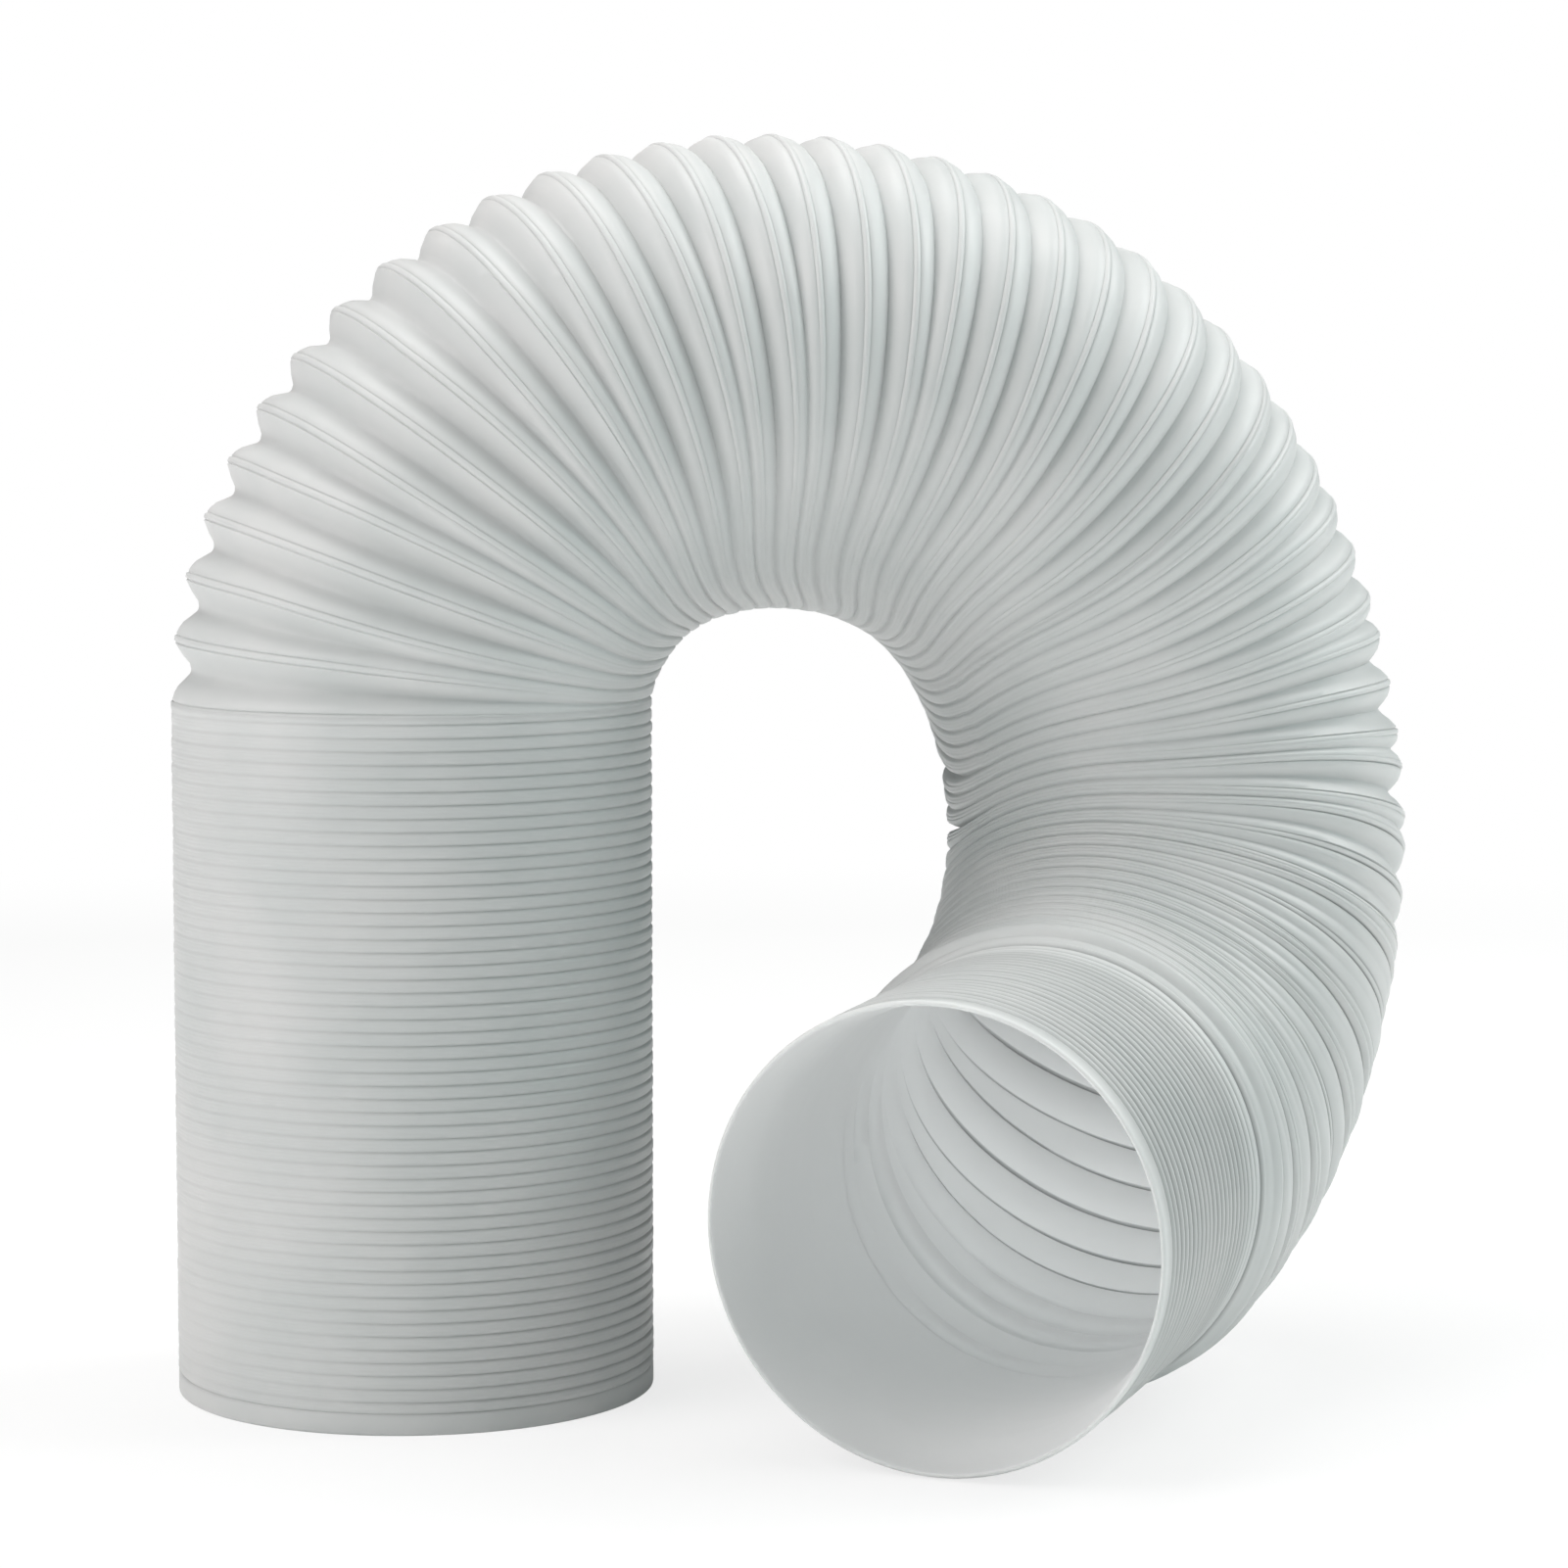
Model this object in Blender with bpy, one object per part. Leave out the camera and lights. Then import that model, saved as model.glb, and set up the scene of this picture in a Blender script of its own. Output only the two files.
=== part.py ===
"""Flexible exhaust hose of a portable air conditioner, standing on one end.

The hose is one moulding. Its waves are closed up in the standing column and in
the short end section that lies on the floor, and open along the arch, the leg
and the elbow between them. Metres, +Z up, the floor at z = 0.
"""

import math

import bmesh
import bpy
import numpy as np
from mathutils import Matrix

# Section of the hose
CREST_DIAMETER = 0.150
WAVE_DEPTH = 0.006
WALL = 0.0008
CLOSED_RELIEF = 0.001
END_SECTION_DIAMETER = 0.140

# Waves along the hose
CLOSED_PITCH = 0.004
FULLY_OPEN_PITCH = 0.016
COLUMN_WAVES = 52
OPEN_WAVES = 51
END_WAVES = 22
FOOT_BAND = 0.008
MOUTH_LIP = 0.010

# From its crest a wave falls gently to its valley, then climbs more steeply to the next crest
VALLEY_PHASE = 0.57

# Along the open waves, by the share of them passed: pitch against their average pitch
PITCH_ALONG = [(0.0, 0.98), (0.33, 1.08), (0.6, 0.97), (1.0, 0.90)]
# and the share of the wave depth that is left where the hose is drawn out
DEPTH_ALONG = [(0.0, 1.0), (0.14, 1.0), (0.4, 0.65), (0.6, 0.6), (0.7, 0.75), (1.0, 0.6)]

# Route of the centreline from the column's top, in crest diameters:
# x and y from the column's axis, and height above the column's top
ARCH_ROUTE = [
    (0.233, 0.053, 0.502),
    (0.752, 0.193, 0.685),
    (1.270, 0.340, 0.512),
    (1.575, 0.460, 0.050),
]
# x and y as above, then the share of the way from the lying height to the column's top
LEG_ROUTE = [
    (1.612, 0.360, 0.465),
    (1.413, -0.033, 0.055),
    (1.300, -0.280, 0.0),
]
# Heading of the end section over the floor, from +X towards +Y
END_HEADING = math.radians(-112)
FLOOR_CLEARANCE = 0.0003

SIDES = 24
ROUTE_SAMPLES = 1200

CREST_RADIUS = CREST_DIAMETER / 2
END_RADIUS = END_SECTION_DIAMETER / 2
COLUMN_HEIGHT = FOOT_BAND + COLUMN_WAVES * CLOSED_PITCH
END_LENGTH = END_WAVES * CLOSED_PITCH + MOUTH_LIP
LYING_HEIGHT = CREST_RADIUS + FLOOR_CLEARANCE


def clear_scene():
    for old in list(bpy.data.objects):
        bpy.data.objects.remove(old, do_unlink=True)


def end_direction():
    """The end section sinks from crest height to its own smaller radius."""
    drop = (CREST_RADIUS - END_RADIUS) / END_LENGTH
    level = math.sqrt(1 - drop * drop)
    return np.array([level * math.cos(END_HEADING), level * math.sin(END_HEADING), -drop])


def route_points():
    """Centreline points of the open waves, from the column's top to the end section."""
    points = [(0.0, 0.0, COLUMN_HEIGHT)]
    for x, y, above in ARCH_ROUTE:
        points.append((x * CREST_DIAMETER, y * CREST_DIAMETER, COLUMN_HEIGHT + above * CREST_DIAMETER))
    for x, y, share in LEG_ROUTE:
        height = LYING_HEIGHT + share * (COLUMN_HEIGHT - LYING_HEIGHT)
        points.append((x * CREST_DIAMETER, y * CREST_DIAMETER, height))
    return np.array(points)


def smooth_curve(points, start, end, samples):
    """Cubic spline through the points that leaves along start and arrives along end."""
    steps = np.linalg.norm(np.diff(points, axis=0), axis=1)
    knots = np.concatenate([[0.0], np.cumsum(steps)])
    count = len(points)
    system = np.eye(count)
    wanted = np.zeros((count, 3))
    wanted[0] = start
    wanted[-1] = end
    for i in range(1, count - 1):
        before, after = steps[i - 1], steps[i]
        system[i, i - 1:i + 2] = after, 2 * (before + after), before
        climb_before = (points[i] - points[i - 1]) / before
        climb_after = (points[i + 1] - points[i]) / after
        wanted[i] = 3 * (after * climb_before + before * climb_after)
    slopes = np.linalg.solve(system, wanted)

    at = np.linspace(0.0, knots[-1], samples)
    span = np.clip(np.searchsorted(knots, at, side="right") - 1, 0, count - 2)
    step = steps[span][:, None]
    u = (at - knots[span])[:, None] / step
    return (
        (2 * u**3 - 3 * u**2 + 1) * points[span]
        + (u**3 - 2 * u**2 + u) * step * slopes[span]
        + (3 * u**2 - 2 * u**3) * points[span + 1]
        + (u**3 - u**2) * step * slopes[span + 1]
    )


class Centreline:
    """Places, directions and bends along the open waves, by arc length."""

    def __init__(self):
        up = np.array([0.0, 0.0, 1.0])
        self.places = smooth_curve(route_points(), up, end_direction(), ROUTE_SAMPLES)
        steps = np.linalg.norm(np.diff(self.places, axis=0), axis=1)
        self.lengths = np.concatenate([[0.0], np.cumsum(steps)])
        self.length = self.lengths[-1]
        heads = np.gradient(self.places, self.lengths, axis=0)
        heads[0] = up
        heads[-1] = end_direction()
        self.heads = heads / np.linalg.norm(heads, axis=1)[:, None]
        self.bends = np.gradient(self.heads, self.lengths, axis=0)
        self.sides = self.carried_sides()

    def carried_sides(self):
        """The +X direction of the column, carried along the curve without twist."""
        sides = [np.array([1.0, 0.0, 0.0])]
        for head in self.heads[1:]:
            side = sides[-1] - sides[-1].dot(head) * head
            sides.append(side / np.linalg.norm(side))
        return np.array(sides)

    def sample(self, table, length):
        return np.array([np.interp(length, self.lengths, table[:, axis]) for axis in range(3)])

    def frame(self, length):
        """Place, bend and the two crosswise directions at an arc length."""
        head = self.sample(self.heads, length)
        head /= np.linalg.norm(head)
        side = self.sample(self.sides, length)
        side -= side.dot(head) * head
        side /= np.linalg.norm(side)
        return self.sample(self.places, length), self.sample(self.bends, length), side, np.cross(head, side)


def along_waves(table, phase):
    """Value at a phase from a table of shares and values along the open waves."""
    shares, values = zip(*table)
    return np.interp(phase / OPEN_WAVES, shares, values)


class WaveRun:
    """Arc length and pitch of the open waves by phase, which is 1 greater at each crest."""

    def __init__(self, length):
        self.phases = np.linspace(0.0, OPEN_WAVES, ROUTE_SAMPLES)
        pitches = along_waves(PITCH_ALONG, self.phases)
        run = np.concatenate([[0.0], np.cumsum((pitches[1:] + pitches[:-1]) / 2)])
        self.places = length * run / run[-1]
        self.pitches = np.gradient(self.places, self.phases)

    def place(self, phase):
        return np.interp(phase, self.phases, self.places)

    def pitch(self, phase):
        return np.interp(phase, self.phases, self.pitches)


def openness(pitch):
    """0 where a wave is closed up, 1 where it is fully open."""
    share = np.clip((pitch - CLOSED_PITCH) / (FULLY_OPEN_PITCH - CLOSED_PITCH), 0.0, 1.0)
    return share * share * (3 - 2 * share)


def relief(opened, phase):
    """Depth that shows of a wave: little when it is closed, all of it when it is open."""
    open_relief = WAVE_DEPTH * along_waves(DEPTH_ALONG, phase)
    return CLOSED_RELIEF + (open_relief - CLOSED_RELIEF) * opened


def ring_angles():
    return np.arange(SIDES) * 2 * math.pi / SIDES


def round_ring(place, side, other, radius):
    """Points of one ring; radius is one number or one for each side."""
    angles = ring_angles()
    crosswise = np.outer(np.cos(angles), side) + np.outer(np.sin(angles), other)
    return place + crosswise * np.broadcast_to(radius, SIDES)[:, None]


def column_rings():
    """The standing column, whose folds are packed as thick as a wave is deep."""
    side, other = np.array([1.0, 0.0, 0.0]), np.array([0.0, 1.0, 0.0])
    bore = CREST_RADIUS - WAVE_DEPTH - WALL
    foot = np.zeros(3)
    return [(round_ring(foot, side, other, CREST_RADIUS), round_ring(foot, side, other, bore))]


def open_rings(line):
    """Crest and valley rings of the open waves; closed folds are packed into a thicker wall."""
    rings = []
    angles = ring_angles()
    waves = WaveRun(line.length)
    for wave in range(OPEN_WAVES):
        for phase, valley in ((wave, False), (wave + VALLEY_PHASE, True)):
            place, bend, side, other = line.frame(waves.place(phase))
            crosswise = np.outer(np.cos(angles), side) + np.outer(np.sin(angles), other)
            opened = openness(waves.pitch(phase) * (1 - CREST_RADIUS * crosswise @ bend))
            depth = relief(opened, phase)
            thickness = WALL + (WAVE_DEPTH - depth) * (1 - opened)
            outer = CREST_RADIUS - depth if valley else np.full(SIDES, CREST_RADIUS)
            rings.append((round_ring(place, side, other, outer), round_ring(place, side, other, outer - thickness)))
    return rings


def end_rings(line):
    """The end section, closed up again, with its plain lip at the mouth."""
    place, _, side, other = line.frame(line.length)
    inner = END_RADIUS - WAVE_DEPTH + CLOSED_RELIEF
    rings = []
    for along in (0.0, END_LENGTH):
        centre = place + along * end_direction()
        rings.append((round_ring(centre, side, other, END_RADIUS), round_ring(centre, side, other, inner)))
    return rings


def build_wall(rings):
    """One closed wall: an outer and an inner skin joined at both cut edges."""
    shape = bmesh.new()
    outer = [[shape.verts.new(point) for point in ring] for ring, _ in rings]
    inner = [[shape.verts.new(point) for point in ring] for _, ring in rings]

    def strip(first, second):
        for k in range(SIDES):
            n = (k + 1) % SIDES
            shape.faces.new((first[k], first[n], second[n], second[k]))

    for first, second in zip(outer, outer[1:]):
        strip(first, second)
    for first, second in zip(inner, inner[1:]):
        strip(second, first)
    strip(inner[0], outer[0])
    strip(outer[-1], inner[-1])
    bmesh.ops.triangulate(shape, faces=shape.faces[:])
    return shape


def centre_over_origin(shape):
    """Brings the middle of the footprint to the origin, with the floor kept at z = 0."""
    points = np.array([vertex.co[:] for vertex in shape.verts])
    middle = (points.min(axis=0) + points.max(axis=0)) / 2
    bmesh.ops.transform(shape, matrix=Matrix.Translation((-middle[0], -middle[1], 0.0)), verts=shape.verts)


def plastic():
    material = bpy.data.materials.new("white_plastic")
    material.use_nodes = True
    shader = material.node_tree.nodes["Principled BSDF"]
    shader.inputs["Base Color"].default_value = (0.62, 0.65, 0.64, 1.0)
    shader.inputs["Roughness"].default_value = 0.42
    shader.inputs["Metallic"].default_value = 0.0
    return material


def make_hose():
    line = Centreline()
    shape = build_wall(column_rings() + open_rings(line) + end_rings(line))
    centre_over_origin(shape)
    mesh = bpy.data.meshes.new("hose")
    shape.to_mesh(mesh)
    shape.free()
    mesh.materials.append(plastic())
    mesh.shade_smooth()
    mesh.set_sharp_from_angle(angle=math.radians(30))
    hose = bpy.data.objects.new("hose", mesh)
    bpy.context.scene.collection.objects.link(hose)


clear_scene()
make_hose()
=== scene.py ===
"""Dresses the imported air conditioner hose: fine waves, moulded plastic, studio light and camera.

The hose is swept along the same route as its solid. Every wave has its own place on
every side of the hose, because such a hose opens fold by fold and not evenly.
"""

import math

import bpy
import numpy as np
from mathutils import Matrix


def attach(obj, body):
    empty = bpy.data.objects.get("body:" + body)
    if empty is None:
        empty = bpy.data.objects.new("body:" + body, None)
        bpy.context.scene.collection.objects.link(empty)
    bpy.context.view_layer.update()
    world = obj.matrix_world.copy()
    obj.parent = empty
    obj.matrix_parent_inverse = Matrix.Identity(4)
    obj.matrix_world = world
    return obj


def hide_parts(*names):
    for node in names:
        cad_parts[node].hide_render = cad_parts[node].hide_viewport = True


# Section and waves of the hose, as in its solid
CREST_DIAMETER = 0.150
WAVE_DEPTH = 0.006
WALL = 0.0008
CLOSED_RELIEF = 0.001
END_SECTION_DIAMETER = 0.140
CLOSED_PITCH = 0.004
FULLY_OPEN_PITCH = 0.016
COLUMN_WAVES = 52
OPEN_WAVES = 51
END_WAVES = 22
FOOT_BAND = 0.008
MOUTH_LIP = 0.010

# Every table named ALONG starts its rows with the share of the open waves that is passed.
# Pitch against the average pitch, and share of the wave depth that is left, as in the solid
PITCH_ALONG = [(0.0, 0.98), (0.33, 1.08), (0.6, 0.97), (1.0, 0.90)]
BORE_DEPTH_ALONG = [(0.0, 1.0), (0.14, 1.0), (0.4, 0.65), (0.6, 0.6), (0.7, 0.75), (1.0, 0.6)]

# The outside follows a table of its own: deeper in the leg and shallower in the elbow
DEPTH_ALONG = [
    (0.0, 1.0),
    (0.14, 1.0),
    (0.4, 0.65),
    (0.53, 0.65),
    (0.6, 0.9),
    (0.7, 0.9),
    (0.85, 0.45),
    (1.0, 0.3),
]

# Route of the centreline, as in the solid: x and y from the column's axis in crest diameters,
# then the height above the column's top, or the leg's share of the way up to it
ARCH_ROUTE = [
    (0.233, 0.053, 0.502),
    (0.752, 0.193, 0.685),
    (1.270, 0.340, 0.512),
    (1.575, 0.460, 0.050),
]
LEG_ROUTE = [
    (1.612, 0.360, 0.465),
    (1.413, -0.033, 0.055),
    (1.300, -0.280, 0.0),
]
END_HEADING = math.radians(-112)
FLOOR_CLEARANCE = 0.0003
FLOOR_TOLERANCE = 0.00001
ROUTE_SAMPLES = 1200
COLUMN_SAMPLES = 120
END_SAMPLES = 60

CREST_RADIUS = CREST_DIAMETER / 2
END_RADIUS = END_SECTION_DIAMETER / 2
COLUMN_HEIGHT = FOOT_BAND + COLUMN_WAVES * CLOSED_PITCH
END_LENGTH = END_WAVES * CLOSED_PITCH + MOUTH_LIP
LYING_HEIGHT = CREST_RADIUS + FLOOR_CLEARANCE
FOLD_RADIUS = CREST_RADIUS - WAVE_DEPTH - WALL
END_BORE_RADIUS = END_RADIUS - WAVE_DEPTH + CLOSED_RELIEF

# Fine shape of the waves: a bead on each crest between two narrow grooves
SIDES = 120
BEAD_TOP_HALF_WIDTH = 0.0006
BEAD_HALF_WIDTH = 0.0011
BEAD_HEIGHT = 0.0005
BEAD_GROOVE_WIDTH = 0.0005
BEAD_GROOVE_DEPTH = 0.0002

# Depth of those grooves and strength of the shade painted in them, and what a shut wave keeps of them
# and of the bead's width
GROOVE_ALONG = [(0.0, 1.3), (0.12, 1.2), (0.3, 0.9), (0.6, 1.5), (0.75, 3.1), (1.0, 3.3)]
SHUT_GROOVE_SHARE = 0.35
SHUT_BEAD_SHARE = 0.5

# In the elbow the waves bulge outwards between beads that lie in narrow creases
BULGE_ALONG = [(0.0, 0.0), (0.68, 0.0), (0.8, 1.0), (1.0, 1.0)]
BULGE_DEPTH = 0.0016

# Folds that have sprung open on the leg's inner side: wave, how much deeper and how much longer
DENTS = [(31, 0.0045, 0.0048), (34, 0.0047, 0.0045)]
DENT_SIDE = math.radians(45)
DENT_SPREAD = math.radians(30)

# A wave that opens half way is still nearly as shallow as a shut one
DEPTH_GROWTH = 1.5

# Grooves of the column, deeper on its right side
COLUMN_GROOVE_DEPTH = 0.00055
COLUMN_GROOVE_CHANGE = 0.5

# How far crests may move between their neighbours: least where folds are shut or drawn out
WIDEST_PITCH = 0.018
LEAST_PITCH = 0.0035
SOFTNESS = 0.0005
LARGEST_SHIFT = 0.0022
SHIFT_FALL = 1.25
SHIFT_ALONG = [(0.0, 1.0), (0.55, 1.1), (0.72, 1.8), (1.0, 1.9)]

# Crests lean one way in front and another at the back; each starts its sequence elsewhere
FRONT_START = 0.31
BACK_START = 0.77
FRONT_TO_BACK = 0.6

# Crests aren't quite round: depth, turns of each ripple round the hose and least strength
CREST_UNEVENNESS = 0.0003
RIPPLE_TURNS = (1, 2, 3, 5)
LEAST_RIPPLE = 0.3
RIPPLE_SEED = 11

# The crests narrow to the end section, from a little before its first wave
NECK_BEFORE = 1.0
NECK_AFTER = 0.5

# Slits in the bore, behind the crests that open
LEAST_SLIT_PITCH = 0.0120
FULL_SLIT_PITCH = 0.0165
LEAST_SLIT_WIDTH = 0.0002
SLIT_WIDTH = 0.0012
NARROWING_WAVES = 5

# Half of a slit, in half widths from its crest: share of its depth and of the shade painted in it
SLIT_PROFILE = [(0.0, 1.0, 1.0), (0.7, 0.8, 1.0), (0.95, 0.12, 0.7), (1.5, 0.0, 0.0)]
SHUT_LINE_DEPTH = 0.00005

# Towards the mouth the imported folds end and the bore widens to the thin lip
MOUTH_FLARE = 0.0034
FLARE_LENGTH = 0.030

# Plain stretches: distance from their start, distance inside the crests, share of the shade painted in
# the groove
FOOT_EDGE = [(0.0, 0.0008, 0.0), (0.0003, 0.0003, 0.0), (0.0008, 0.0002, 0.0)]
FOOT_GROOVE = [(0.0022, 0.0002, 0.0), (0.0014, 0.0008, 1.0), (0.0008, 0.0003, 0.0)]
LIP_GROOVE = [(0.0006, 0.0004, 0.0), (0.0013, 0.0012, 1.0), (0.0020, 0.0006, 0.0), (0.0035, 0.0004, 0.0)]
LIP_EDGE = [
    (0.0022, 0.0003, 0.0),
    (0.0012, 0.0001, 0.0),
    (0.0004, 0.0004, 0.0),
    (0.0, 0.0009, 0.0),
    (0.0001, 0.0013, 0.0),
]
LIP_BORE_PLACES = (0.0070, 0.0040, 0.0015, 0.0005)
SHARP_ANGLE = math.radians(62)

# Share of the dark colour painted as shade in folds, valley bottoms, bead grooves and slits, which
# changes round the column and round the end section
FOLD_SHADE = 0.03
VALLEY_SHADE = 0.06
VALLEY_SHARPNESS = 6
# Painted shade in the column's grooves, heaviest towards COLUMN_SHADE_SIDE and faint on the far side
COLUMN_SHADE = 0.11
COLUMN_SHADE_CHANGE = 0.95
COLUMN_SHADE_SIDE = math.radians(345)
# Painted shade in the end section's grooves, heavier towards END_SHADE_SIDE
END_SHADE = 0.44
END_SHADE_CHANGE = 0.5
END_SHADE_SIDE = math.radians(240)
GROOVE_SHADE = 0.09
SLIT_SHADE = 0.55

# Shade painted over whole stretches of the outer skin, on the column, the lower leg and elbow, and the
# end section up to the edge of its lip: arc length from the column's top, share
PAINTED_SHADE_BY_LENGTH = [
    (-0.012, 0.08),
    (0.0, 0.0),
    (0.32, 0.0),
    (0.44, 0.12),
    (0.553, 0.12),
    (0.561, 0.0),
    (0.570, 0.0),
    (0.580, 0.30),
    (0.6575, 0.30),
    (0.6590, 0.0),
]

# Plastic: tints, scales of its clouds, sheen, mould streaks and grain, and its gloss
# Dark colour of the painted shade
PAINTED_SHADE_TINT = (0.13, 0.14, 0.14)
DARKER_TINT = (0.610, 0.628, 0.624)
LIGHTER_TINT = (0.675, 0.678, 0.674)
# Lighter colour of the bore: painted light, for the daylight that comes through the thin wall
BORE_PAINTED_LIGHT_TINT = (0.775, 0.785, 0.785)
NOISE_LOW = 0.3
NOISE_HIGH = 0.7
CLOUD_SCALE = 22.0
SHEEN_SCALE = 60.0
SHEEN_STRETCH = (1, 1, 3)
STREAK_STRETCH = (25, 25, 1400)
GRAIN_SCALE = 900.0
GRAIN_SHARE = 0.5
EVEN_STRETCH = (1, 1, 1)
SMOOTHEST = 0.42
ROUGHEST = 0.56
BUMP_STRENGTH = 0.25
BUMP_DISTANCE = 0.0001
PLASTIC_IOR = 1.49
SCATTER_SHARE = 0.3
SCATTER_DEPTH = 0.005

# Floor: half its size, its colour, and where it starts and ends to turn white
FLOOR_HALF_SIZE = 40.0
FLOOR_COLOUR = (0.93, 0.93, 0.93, 1)
FLOOR_ROUGHNESS = 0.8
FLOOR_SPECULAR = 0.1
FLOOR_GLOW = 0.05
FLOOR_LIFT = 0.75
WHITE_START = 0.45
WHITE_END = 1.6
WHITE = (1, 1, 1, 1)

# Studio light: place, watts and colour of each lamp, all soft and aimed at the hose
LAMP_SIZE = 1.4
LAMP_AIM = (0.0, 0.0, 0.15)
LAMPS = {
    "key_low": ((-2.3, -1.1, 0.55), 13.0, (1.0, 0.955, 0.95)),
    "key_high": ((-1.6, -1.0, 1.9), 26.0, (1.0, 0.955, 0.95)),
    "top": ((-0.2, 0.3, 2.2), 27.0, (1.0, 0.985, 0.975)),
    "right_mid": ((2.2, -0.2, 1.4), 10.0, (0.76, 1.0, 0.985)),
    "right_high": ((1.6, 0.6, 1.7), 30.0, (1.0, 0.99, 0.98)),
    "front": ((0.1, -2.6, 0.9), 5.5, (0.80, 1.0, 0.985)),
}
WORLD_STRENGTH = 0.085
WORLD_COLOUR = (0.85, 1.0, 0.985, 1)

# Light for the bore: a narrow spot in front of the mouth and a small lamp in the elbow
INNER_LIGHT_COLOUR = (0.99, 1.0, 1.0)
MOUTH_SPOT = 28.0
SPOT_DISTANCE = 1.5
SPOT_RISE = (0.0, 0.0, 0.1)
SPOT_RADIUS = 0.066
SPOT_BLEND = 0.6
SPOT_SOFTNESS = 0.08
BORE_LAMP = 0.06
BORE_LAMP_BACK = 0.07
BORE_LAMP_SOFTNESS = 0.03

# Camera of the photograph: its place from the column's axis on the floor, and how it looks
SENSOR_WIDTH = 36.0
LENS = 102.5
CAMERA_PLACE = (0.11617, -1.39327, 0.3112)
CAMERA_DROP_DEGREES = 4.966

# Height profile of one wave, from the groove after one bead to the groove before the next:
# share of the way along, then the share of the depth in a shut wave, in an open wave with
# a round valley, and in an open wave that is a round lobe between two narrow valleys
WAVE_PROFILE = [
    (0.00, 0.00, 0.00, 0.00),
    (0.10, 0.00, 0.10, 0.04),
    (0.22, 0.08, 0.30, 0.15),
    (0.36, 0.45, 0.70, 0.42),
    (0.45, 0.88, 0.94, 0.78),
    (0.50, 1.00, 1.00, 1.00),
    (0.56, 0.92, 1.00, 0.80),
    (0.66, 0.50, 0.90, 0.44),
    (0.80, 0.08, 0.48, 0.14),
    (1.00, 0.00, 0.00, 0.00),
]

# The same with fewer rows, for waves that are shut
COARSE_PROFILE = [
    (0.00, 0.00, 0.00, 0.00),
    (0.25, 0.25, 0.35, 0.35),
    (0.50, 1.00, 1.00, 1.00),
    (0.75, 0.25, 0.60, 0.60),
    (1.00, 0.00, 0.00, 0.00),
]

# Where along the open waves round valleys give way to round lobes
LOBE_ALONG = [(0.0, 0.0), (0.12, 0.0), (0.27, 0.7), (0.52, 0.75), (0.62, 0.3), (1.0, 0.2)]


def side_angles():
    return np.arange(SIDES) * 2 * math.pi / SIDES


def smooth_step(low, high, value):
    share = np.clip((value - low) / (high - low), 0.0, 1.0)
    return share * share * (3 - 2 * share)


def end_direction():
    drop = (CREST_RADIUS - END_RADIUS) / END_LENGTH
    level = math.sqrt(1 - drop * drop)
    return np.array([level * math.cos(END_HEADING), level * math.sin(END_HEADING), -drop])


def route_points():
    points = [(0.0, 0.0, COLUMN_HEIGHT)]
    for x, y, above in ARCH_ROUTE:
        points.append((x * CREST_DIAMETER, y * CREST_DIAMETER, COLUMN_HEIGHT + above * CREST_DIAMETER))
    for x, y, share in LEG_ROUTE:
        height = LYING_HEIGHT + share * (COLUMN_HEIGHT - LYING_HEIGHT)
        points.append((x * CREST_DIAMETER, y * CREST_DIAMETER, height))
    return np.array(points)


def smooth_curve(points, start, end, samples):
    """Cubic spline through the points that leaves along start and arrives along end."""
    steps = np.linalg.norm(np.diff(points, axis=0), axis=1)
    knots = np.concatenate([[0.0], np.cumsum(steps)])
    count = len(points)
    system = np.eye(count)
    wanted = np.zeros((count, 3))
    wanted[0] = start
    wanted[-1] = end
    for i in range(1, count - 1):
        before, after = steps[i - 1], steps[i]
        system[i, i - 1:i + 2] = after, 2 * (before + after), before
        climb_before = (points[i] - points[i - 1]) / before
        climb_after = (points[i + 1] - points[i]) / after
        wanted[i] = 3 * (after * climb_before + before * climb_after)
    slopes = np.linalg.solve(system, wanted)

    at = np.linspace(0.0, knots[-1], samples)
    span = np.clip(np.searchsorted(knots, at, side="right") - 1, 0, count - 2)
    step = steps[span][:, None]
    u = (at - knots[span])[:, None] / step
    return (
        (2 * u**3 - 3 * u**2 + 1) * points[span]
        + (u**3 - 2 * u**2 + u) * step * slopes[span]
        + (3 * u**2 - 2 * u**3) * points[span + 1]
        + (u**3 - u**2) * step * slopes[span + 1]
    )


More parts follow.
